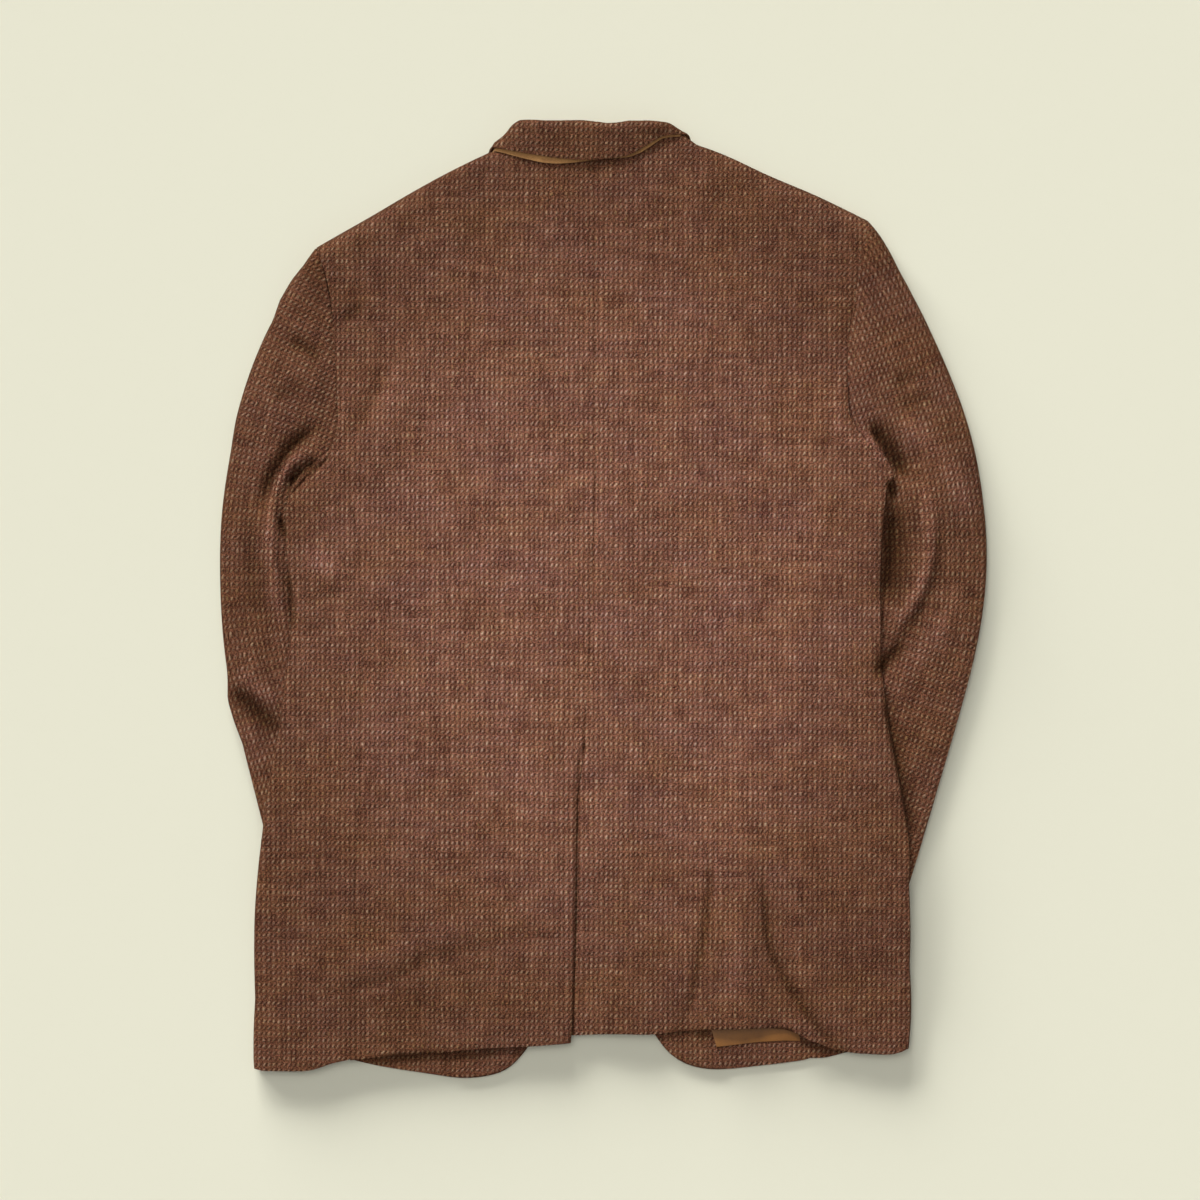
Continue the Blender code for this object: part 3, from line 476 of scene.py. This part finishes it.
def tweedMaterial():
    # spun and woven from mixed wool, then milled: matt, rust brown with rows of soft beige flecks
    look = tweedLook
    material = newMaterial("woven wool tweed")
    add = partial(addNode, material.node_tree)
    across, along = look["across"], look["along"]
    weave = add("UVMap", uv_map="weave")
    fibre = add("TexNoise", {"Vector": weave, "Scale": look["fibre"], "Detail": 3.0, "Roughness": 0.9})
    cloudy = add("TexNoise", {"Vector": weave, "Scale": look["cloud"], "Detail": 3.0})

    # thread places, a little uneven as hand-spun yarn lies
    wander = add("TexNoise", {"Vector": weave, "Scale": look["wander"], "Detail": 3.0}, output=1)
    stray = (look["wanderAcross"], look["wanderAlong"], 0.0)
    wander = add("VectorMath", (wander, stray, tuple(-0.5 * a for a in stray)), operation="MULTIPLY_ADD")
    threads = add("VectorMath", (weave, (1000.0 / across, 1000.0 / along, 0.0), wander),
                  operation="MULTIPLY_ADD")
    cell = add("VectorMath", (threads,), operation="FLOOR")
    inside = add("VectorMath", (threads,), operation="FRACTION")
    inside = add("VectorMath", (inside, (across, along, 0.0), (-0.5 * across, -0.5 * along, 0.0)),
                 operation="MULTIPLY_ADD")
    chance = add("TexWhiteNoise", {"Vector": cell}, output=1, noise_dimensions="2D")
    chances = add("SeparateColor", (chance,)).node.outputs
    aside, up, _ = add("SeparateXYZ", (inside,)).node.outputs
    lean = add("Math", (chances[2], -look["slantVaries"], 0.5 * look["slantVaries"] - look["slant"]),
               operation="MULTIPLY_ADD")
    aside = add("Math", (up, lean, aside), operation="MULTIPLY_ADD")
    aside = add("Math", (chances[0], look["strays"], aside), operation="MULTIPLY_ADD")
    aside = add("Math", (aside, 0.5 * look["strays"]), operation="SUBTRACT")

    # flecks: short slanted ovals, one in each cell; gaps: the dark between two flecks, painted shade in the
    # hollow there
    fleck = add("CombineXYZ", (add("Math", (aside, look["fleckWide"]), operation="DIVIDE"),
                               add("Math", (up, look["fleckLong"]), operation="DIVIDE")))
    fleck = add("VectorMath", (fleck,), output=1, operation="LENGTH")
    fleck = add("MapRange", (fleck, 0.0, 1.0, 1.0, 0.0), interpolation_type="SMOOTHSTEP")
    apart = add("Math", (0.5 * across, add("Math", (aside,), operation="ABSOLUTE")), operation="SUBTRACT")
    gap = add("CombineXYZ", (add("Math", (apart, look["gapWide"]), operation="DIVIDE"),
                             add("Math", (up, look["gapLong"]), operation="DIVIDE")))
    gap = add("VectorMath", (gap,), output=1, operation="LENGTH")
    gap = add("MapRange", (gap, 0.0, 1.0, 1.0, 0.0), interpolation_type="SMOOTHSTEP")

    # yarns differ from row to row and from column to column, for a stretch at a time
    yarnRow = add("VectorMath", (threads, (look["rowRun"], 0.0, 0.0)), operation="MULTIPLY")
    yarnRow = add("VectorMath", (cell, (0.0, 3.7, 0.0), yarnRow), operation="MULTIPLY_ADD")
    yarnColumn = add("VectorMath", (threads, (0.0, look["columnRun"], 0.0)), operation="MULTIPLY")
    yarnColumn = add("VectorMath", (cell, (4.3, 0.0, 9.0), yarnColumn), operation="MULTIPLY_ADD")
    yarnRow = add("TexNoise", {"Vector": yarnRow, "Scale": 1.0, "Detail": 1.0})
    yarnColumn = add("TexNoise", {"Vector": yarnColumn, "Scale": 1.0, "Detail": 1.0})
    yarn = add("Math", (yarnRow, yarnColumn), operation="ADD")

    # colour: ground yarn, dark gaps, then flecks from dull to pale, a few mauve or ochre
    share = add("Math", (fibre, look["groundFibre"], look["groundBase"]), operation="MULTIPLY_ADD")
    share = add("Math", (yarn, look["groundYarn"], share), operation="MULTIPLY_ADD", use_clamp=True)
    colour = add("Mix", {0: share, 6: hexColour(look["groundDark"]), 7: hexColour(look["groundLight"])},
                 output=2, data_type="RGBA")
    # painted shade in the gaps between flecks
    share = add("Math", (chances[1], look["gapVaries"], look["gapDepth"]), operation="MULTIPLY_ADD")
    share = add("Math", (share, gap), operation="MULTIPLY")
    colour = add("Mix", {0: share, 6: colour, 7: hexColour(look["gap"])}, output=2, data_type="RGBA")
    share = add("Math", (chances[1], look["paleVaries"], look["paleBase"]), operation="MULTIPLY_ADD")
    share = add("Math", (yarn, look["paleYarn"], share), operation="MULTIPLY_ADD", use_clamp=True)
    pale = add("Mix", {0: share, 6: hexColour(look["fleckDark"]), 7: hexColour(look["fleckLight"])},
               output=2, data_type="RGBA")
    for test, limit, tint in (("GREATER_THAN", 1.0 - look["mauveShare"], "mauve"),
                              ("LESS_THAN", look["ochreShare"], "ochre")):
        chosen = add("Math", (chances[2], limit), operation=test)
        chosen = add("Math", (chosen, look["strayTint"]), operation="MULTIPLY")
        pale = add("Mix", {0: chosen, 6: pale, 7: hexColour(look[tint])}, output=2, data_type="RGBA")
    share = add("Math", (chances[0], look["coverVaries"], look["fleckCover"]), operation="MULTIPLY_ADD")
    share = add("Math", (share, fleck), operation="MULTIPLY", use_clamp=True)
    colour = add("Mix", {0: share, 6: colour, 7: pale}, output=2, data_type="RGBA")

    # painted light and shade from each piece's own attribute, with random patches, and tufts that differ in
    # lightness and colour
    paintedShading = add("Attribute", output=2, attribute_name="paintedLight")
    cloudy = add("Math", (cloudy, look["cloudDepth"], 1.0 - 0.5 * look["cloudDepth"]),
                 operation="MULTIPLY_ADD")
    shade = add("Math", (paintedShading, cloudy), operation="MULTIPLY")
    tint = add("CombineColor", (shade, add("Math", (shade, look["greenDrop"]), operation="POWER"),
                                add("Math", (shade, look["blueDrop"]), operation="POWER")))
    colour = add("Mix", {0: 1.0, 6: colour, 7: tint}, output=2, data_type="RGBA", blend_type="MULTIPLY")
    grain = add("Math", (fibre, look["grain"], 1.0 - 0.5 * look["grain"]), operation="MULTIPLY_ADD")
    colour = add("VectorMath", {0: colour, 3: grain}, operation="SCALE")
    dyed = add("VectorMath", (fibre.node.outputs[1], (look["dye"],) * 3, (1.0 - 0.5 * look["dye"],) * 3),
               operation="MULTIPLY_ADD")
    colour = add("VectorMath", (colour, dyed), operation="MULTIPLY")

    # the wool's batches run a little warmer or cooler
    batch = add("VectorMath", (weave, (look["batchAcross"], look["batchAlong"], 1.0)),
                operation="MULTIPLY")
    batch = add("TexNoise", {"Vector": batch, "Scale": 1.0, "Detail": 2.0, "Roughness": 0.55})
    batch = add("MapRange", (batch, 0.36, 0.64))
    batch = add("Mix", {0: batch, 6: hexColour(look["warm"]), 7: hexColour(look["cool"])},
                output=2, data_type="RGBA")
    colour = add("Mix", {0: 1.0, 6: colour, 7: batch}, output=2, data_type="RGBA", blend_type="MULTIPLY")
    colour = add("VectorMath", {0: colour, 3: look["lift"]}, operation="SCALE")

    # flecks stand up from the ground and the fibres from both
    height = add("Math", (fleck, look["fleckHeight"], fibre), operation="MULTIPLY_ADD")
    height = add("Math", (gap, look["gapHeight"], height), operation="MULTIPLY_ADD")
    bump = add("Bump", {"Height": height, "Distance": look["bump"] * mm, "Strength": look["bumpShare"]})
    shader = add("BsdfPrincipled", {"Base Color": colour, "Normal": bump, "Roughness": look["rough"],
                                    "Sheen Weight": look["sheen"], "Sheen Roughness": look["sheenRough"],
                                    "Sheen Tint": hexColour(look["sheenTint"]),
                                    "Specular IOR Level": look["specular"]})
    add("OutputMaterial", (shader,))
    return material


# "grain" is the size in mm of a fibre tuft, of a group of twill threads or of the horn's streaks
# pressed from wool fibre, not woven: matt ochre with a short nap
meltonLook = {"dark": "#7E5230", "light": "#D29C5E", "grain": 0.8, "rough": 0.95, "sheen": 0.1}
# close twill of smooth filament: brown with a low soft shine
liningLook = {"dark": "#6A4018", "light": "#9C6628", "grain": 0.5, "rough": 0.5, "sheen": 0.0}
# turned from horn and buffed: nearly black brown, glossy
hornLook = {"dark": "#24150E", "light": "#4A3226", "grain": 4.0, "rough": 0.3, "sheen": 0.0}


def plainMaterial(name, look):
    # a fine plain finish: its threads or streaks drawn as a close noise, over faint clouds
    material = newMaterial(name)
    add = partial(addNode, material.node_tree)
    place = add("TexCoord", output=3)
    threads = add("TexNoise", {"Vector": place, "Scale": 1000.0 / look["grain"], "Detail": 3.0})
    cloudy = add("TexNoise", {"Vector": place, "Scale": 60.0, "Detail": 2.0})
    share = add("Math", (add("Math", (threads, 1.5, -0.65), operation="MULTIPLY_ADD"),
                         add("Math", (cloudy, 0.8), operation="MULTIPLY")),
                operation="ADD", use_clamp=True)
    colour = add("Mix", {0: share, 6: hexColour(look["dark"]), 7: hexColour(look["light"])},
                 output=2, data_type="RGBA")
    bump = add("Bump", {"Height": threads, "Distance": 0.2 * mm, "Strength": 0.6})
    shader = add("BsdfPrincipled", {"Base Color": colour, "Normal": bump, "Roughness": look["rough"],
                                    "Sheen Weight": look["sheen"]})
    add("OutputMaterial", (shader,))
    return material


materials = {
    "tweed": tweedMaterial(),
    "melton": plainMaterial("felted wool melton", meltonLook),
    "lining": plainMaterial("viscose twill lining", liningLook),
    "horn": plainMaterial("polished horn", hornLook),
}
print("materials ready")

# flat size in metres, area in square metres; the pieces that show are smoothed more finely
pieces = {
    "back_left": {"slot": "tweed", "flat": (0.28, 0.80), "area": 0.165, "shown": True},
    "back_right": {"slot": "tweed", "flat": (0.27, 0.80), "area": 0.155, "shown": True},
    "side_left": {"slot": "tweed", "flat": (0.16, 0.58), "area": 0.079, "shown": True},
    "side_right": {"slot": "tweed", "flat": (0.16, 0.56), "area": 0.078, "shown": True},
    "front_left": {"slot": "tweed", "flat": (0.28, 0.82), "area": 0.15, "shown": False},
    "front_right": {"slot": "tweed", "flat": (0.28, 0.82), "area": 0.15, "shown": False},
    "facing_left": {"slot": "tweed", "flat": (0.08, 0.08), "area": 0.0039, "shown": False},
    "facing_right": {"slot": "tweed", "flat": (0.08, 0.08), "area": 0.0034, "shown": False},
    "lining_right": {"slot": "lining", "flat": (0.09, 0.05), "area": 0.0036, "shown": False},
    "lapel_left": {"slot": "tweed", "flat": (0.11, 0.23), "area": 0.015, "shown": False},
    "lapel_right": {"slot": "tweed", "flat": (0.11, 0.23), "area": 0.015, "shown": False},
    "top_sleeve_left": {"slot": "tweed", "flat": (0.22, 0.66), "area": 0.115, "shown": True},
    "top_sleeve_right": {"slot": "tweed", "flat": (0.22, 0.66), "area": 0.118, "shown": True},
    "under_sleeve_left": {"slot": "tweed", "flat": (0.10, 0.48), "area": 0.026, "shown": False},
    "under_sleeve_right": {"slot": "tweed", "flat": (0.10, 0.48), "area": 0.026, "shown": False},
    "collar": {"slot": "tweed", "flat": (0.06, 0.38), "area": 0.015, "shown": True},
    "under_collar": {"slot": "melton", "flat": (0.06, 0.38), "area": 0.013, "shown": True},
}

for node, settings in pieces.items():
    piece = smoothCopy(node, cloth["levels"] if settings["shown"] else cloth["hiddenLevels"])
    shapeCloth(piece, node)
    roundRims(piece)
    piece.data.materials.append(materials[settings["slot"]])
    toneOn(piece, node)
    weaveOn(piece, node)
    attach(piece, "root")
    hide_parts(node)
    print(piece.name, len(piece.data.polygons))
print("cloth pieces finished")

for number in (1, 2, 3):
    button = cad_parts["button_" + str(number)]
    button.data.materials.clear()
    button.data.materials.append(materials["horn"])
print("buttons finished")

surface = {"size": 60.0, "paint": "#E7E5D0"}   # metres

bpy.ops.object.select_all(action="DESELECT")
bpy.ops.mesh.primitive_plane_add(size=surface["size"])
floor = bpy.context.object
floor.name = "surface"
# rolled matt paint on board: even and plain
paint = newMaterial("matt painted board")
add = partial(addNode, paint.node_tree)
add("OutputMaterial", (add("BsdfDiffuse", (hexColour(surface["paint"]),)),))
floor.data.materials.append(paint)
print("surface laid")

# suns: strength, degrees up from the surface, the side it comes from, and its softness
light = {
    "world": 0.23,
    "top": {"energy": 0.97, "rise": 68.0, "from": 42.0, "soft": 60.0},     # the studio's ceiling
    "cloth": {"energy": 2.3, "rise": 32.0, "from": 22.0, "soft": 14.0},    # shows the cloth's relief
    # side by side, so the shadow on the surface is long and soft
    "floorLeft": {"energy": 3.5, "rise": 8.5, "from": 40.0, "soft": 15.0},
    "floorMiddle": {"energy": 3.5, "rise": 8.5, "from": 24.0, "soft": 13.0},
    "floorRight": {"energy": 3.5, "rise": 8.5, "from": 8.0, "soft": 15.0},
}


def sunLight(name, settings):
    # "from" is in degrees, from the collar toward the left sleeve
    bpy.ops.object.light_add(type="SUN", location=(-1.0, 1.0, 1.5))
    sun = bpy.context.object
    sun.name = name
    sun.data.energy = settings["energy"]
    sun.data.angle = math.radians(settings["soft"])
    sun.rotation_euler = (math.radians(90.0 - settings["rise"]), 0.0,
                          math.radians(180.0 + settings["from"]))
    return sun


world = bpy.data.worlds.new("studio")
world.use_nodes = True
world.node_tree.nodes["Background"].inputs[0].default_value = (1.0, 1.0, 1.0, 1.0)
world.node_tree.nodes["Background"].inputs[1].default_value = light["world"]
bpy.context.scene.world = world
sunLight("top", light["top"])
# the relief's sun leaves the surface out, and the other three light only the surface
for name in ("cloth", "floorLeft", "floorMiddle", "floorRight"):
    lit = bpy.data.collections.new(name + "Light")
    lit.objects.link(floor)
    lit.collection_objects[0].light_linking.link_state = "EXCLUDE" if name == "cloth" else "INCLUDE"
    sunLight(name, light[name]).light_linking.receiver_collection = lit
print("lights set")

view = {
    "frame": 1200, "pixel": 0.866,     # the frame's width, and mm of the jacket in one part of it
    "lens": 100.0, "sensor": 36.0,     # mm
    "aside": -3.3, "down": -0.9,       # mm, the middle of the frame
    "level": 12.0,                     # mm, the height at which the scale is true
}

height = view["frame"] * view["pixel"] * view["lens"] / view["sensor"] + view["level"]
bpy.ops.object.camera_add(location=(view["aside"] * mm, view["down"] * mm, height * mm))
camera = bpy.context.object
camera.data.lens, camera.data.sensor_width = view["lens"], view["sensor"]
camera.data.clip_end = 20.0
camera.rotation_euler = (0.0, 0.0, 0.0)
bpy.context.scene.camera = camera
bpy.context.scene.view_settings.view_transform = "Standard"
print("camera set")
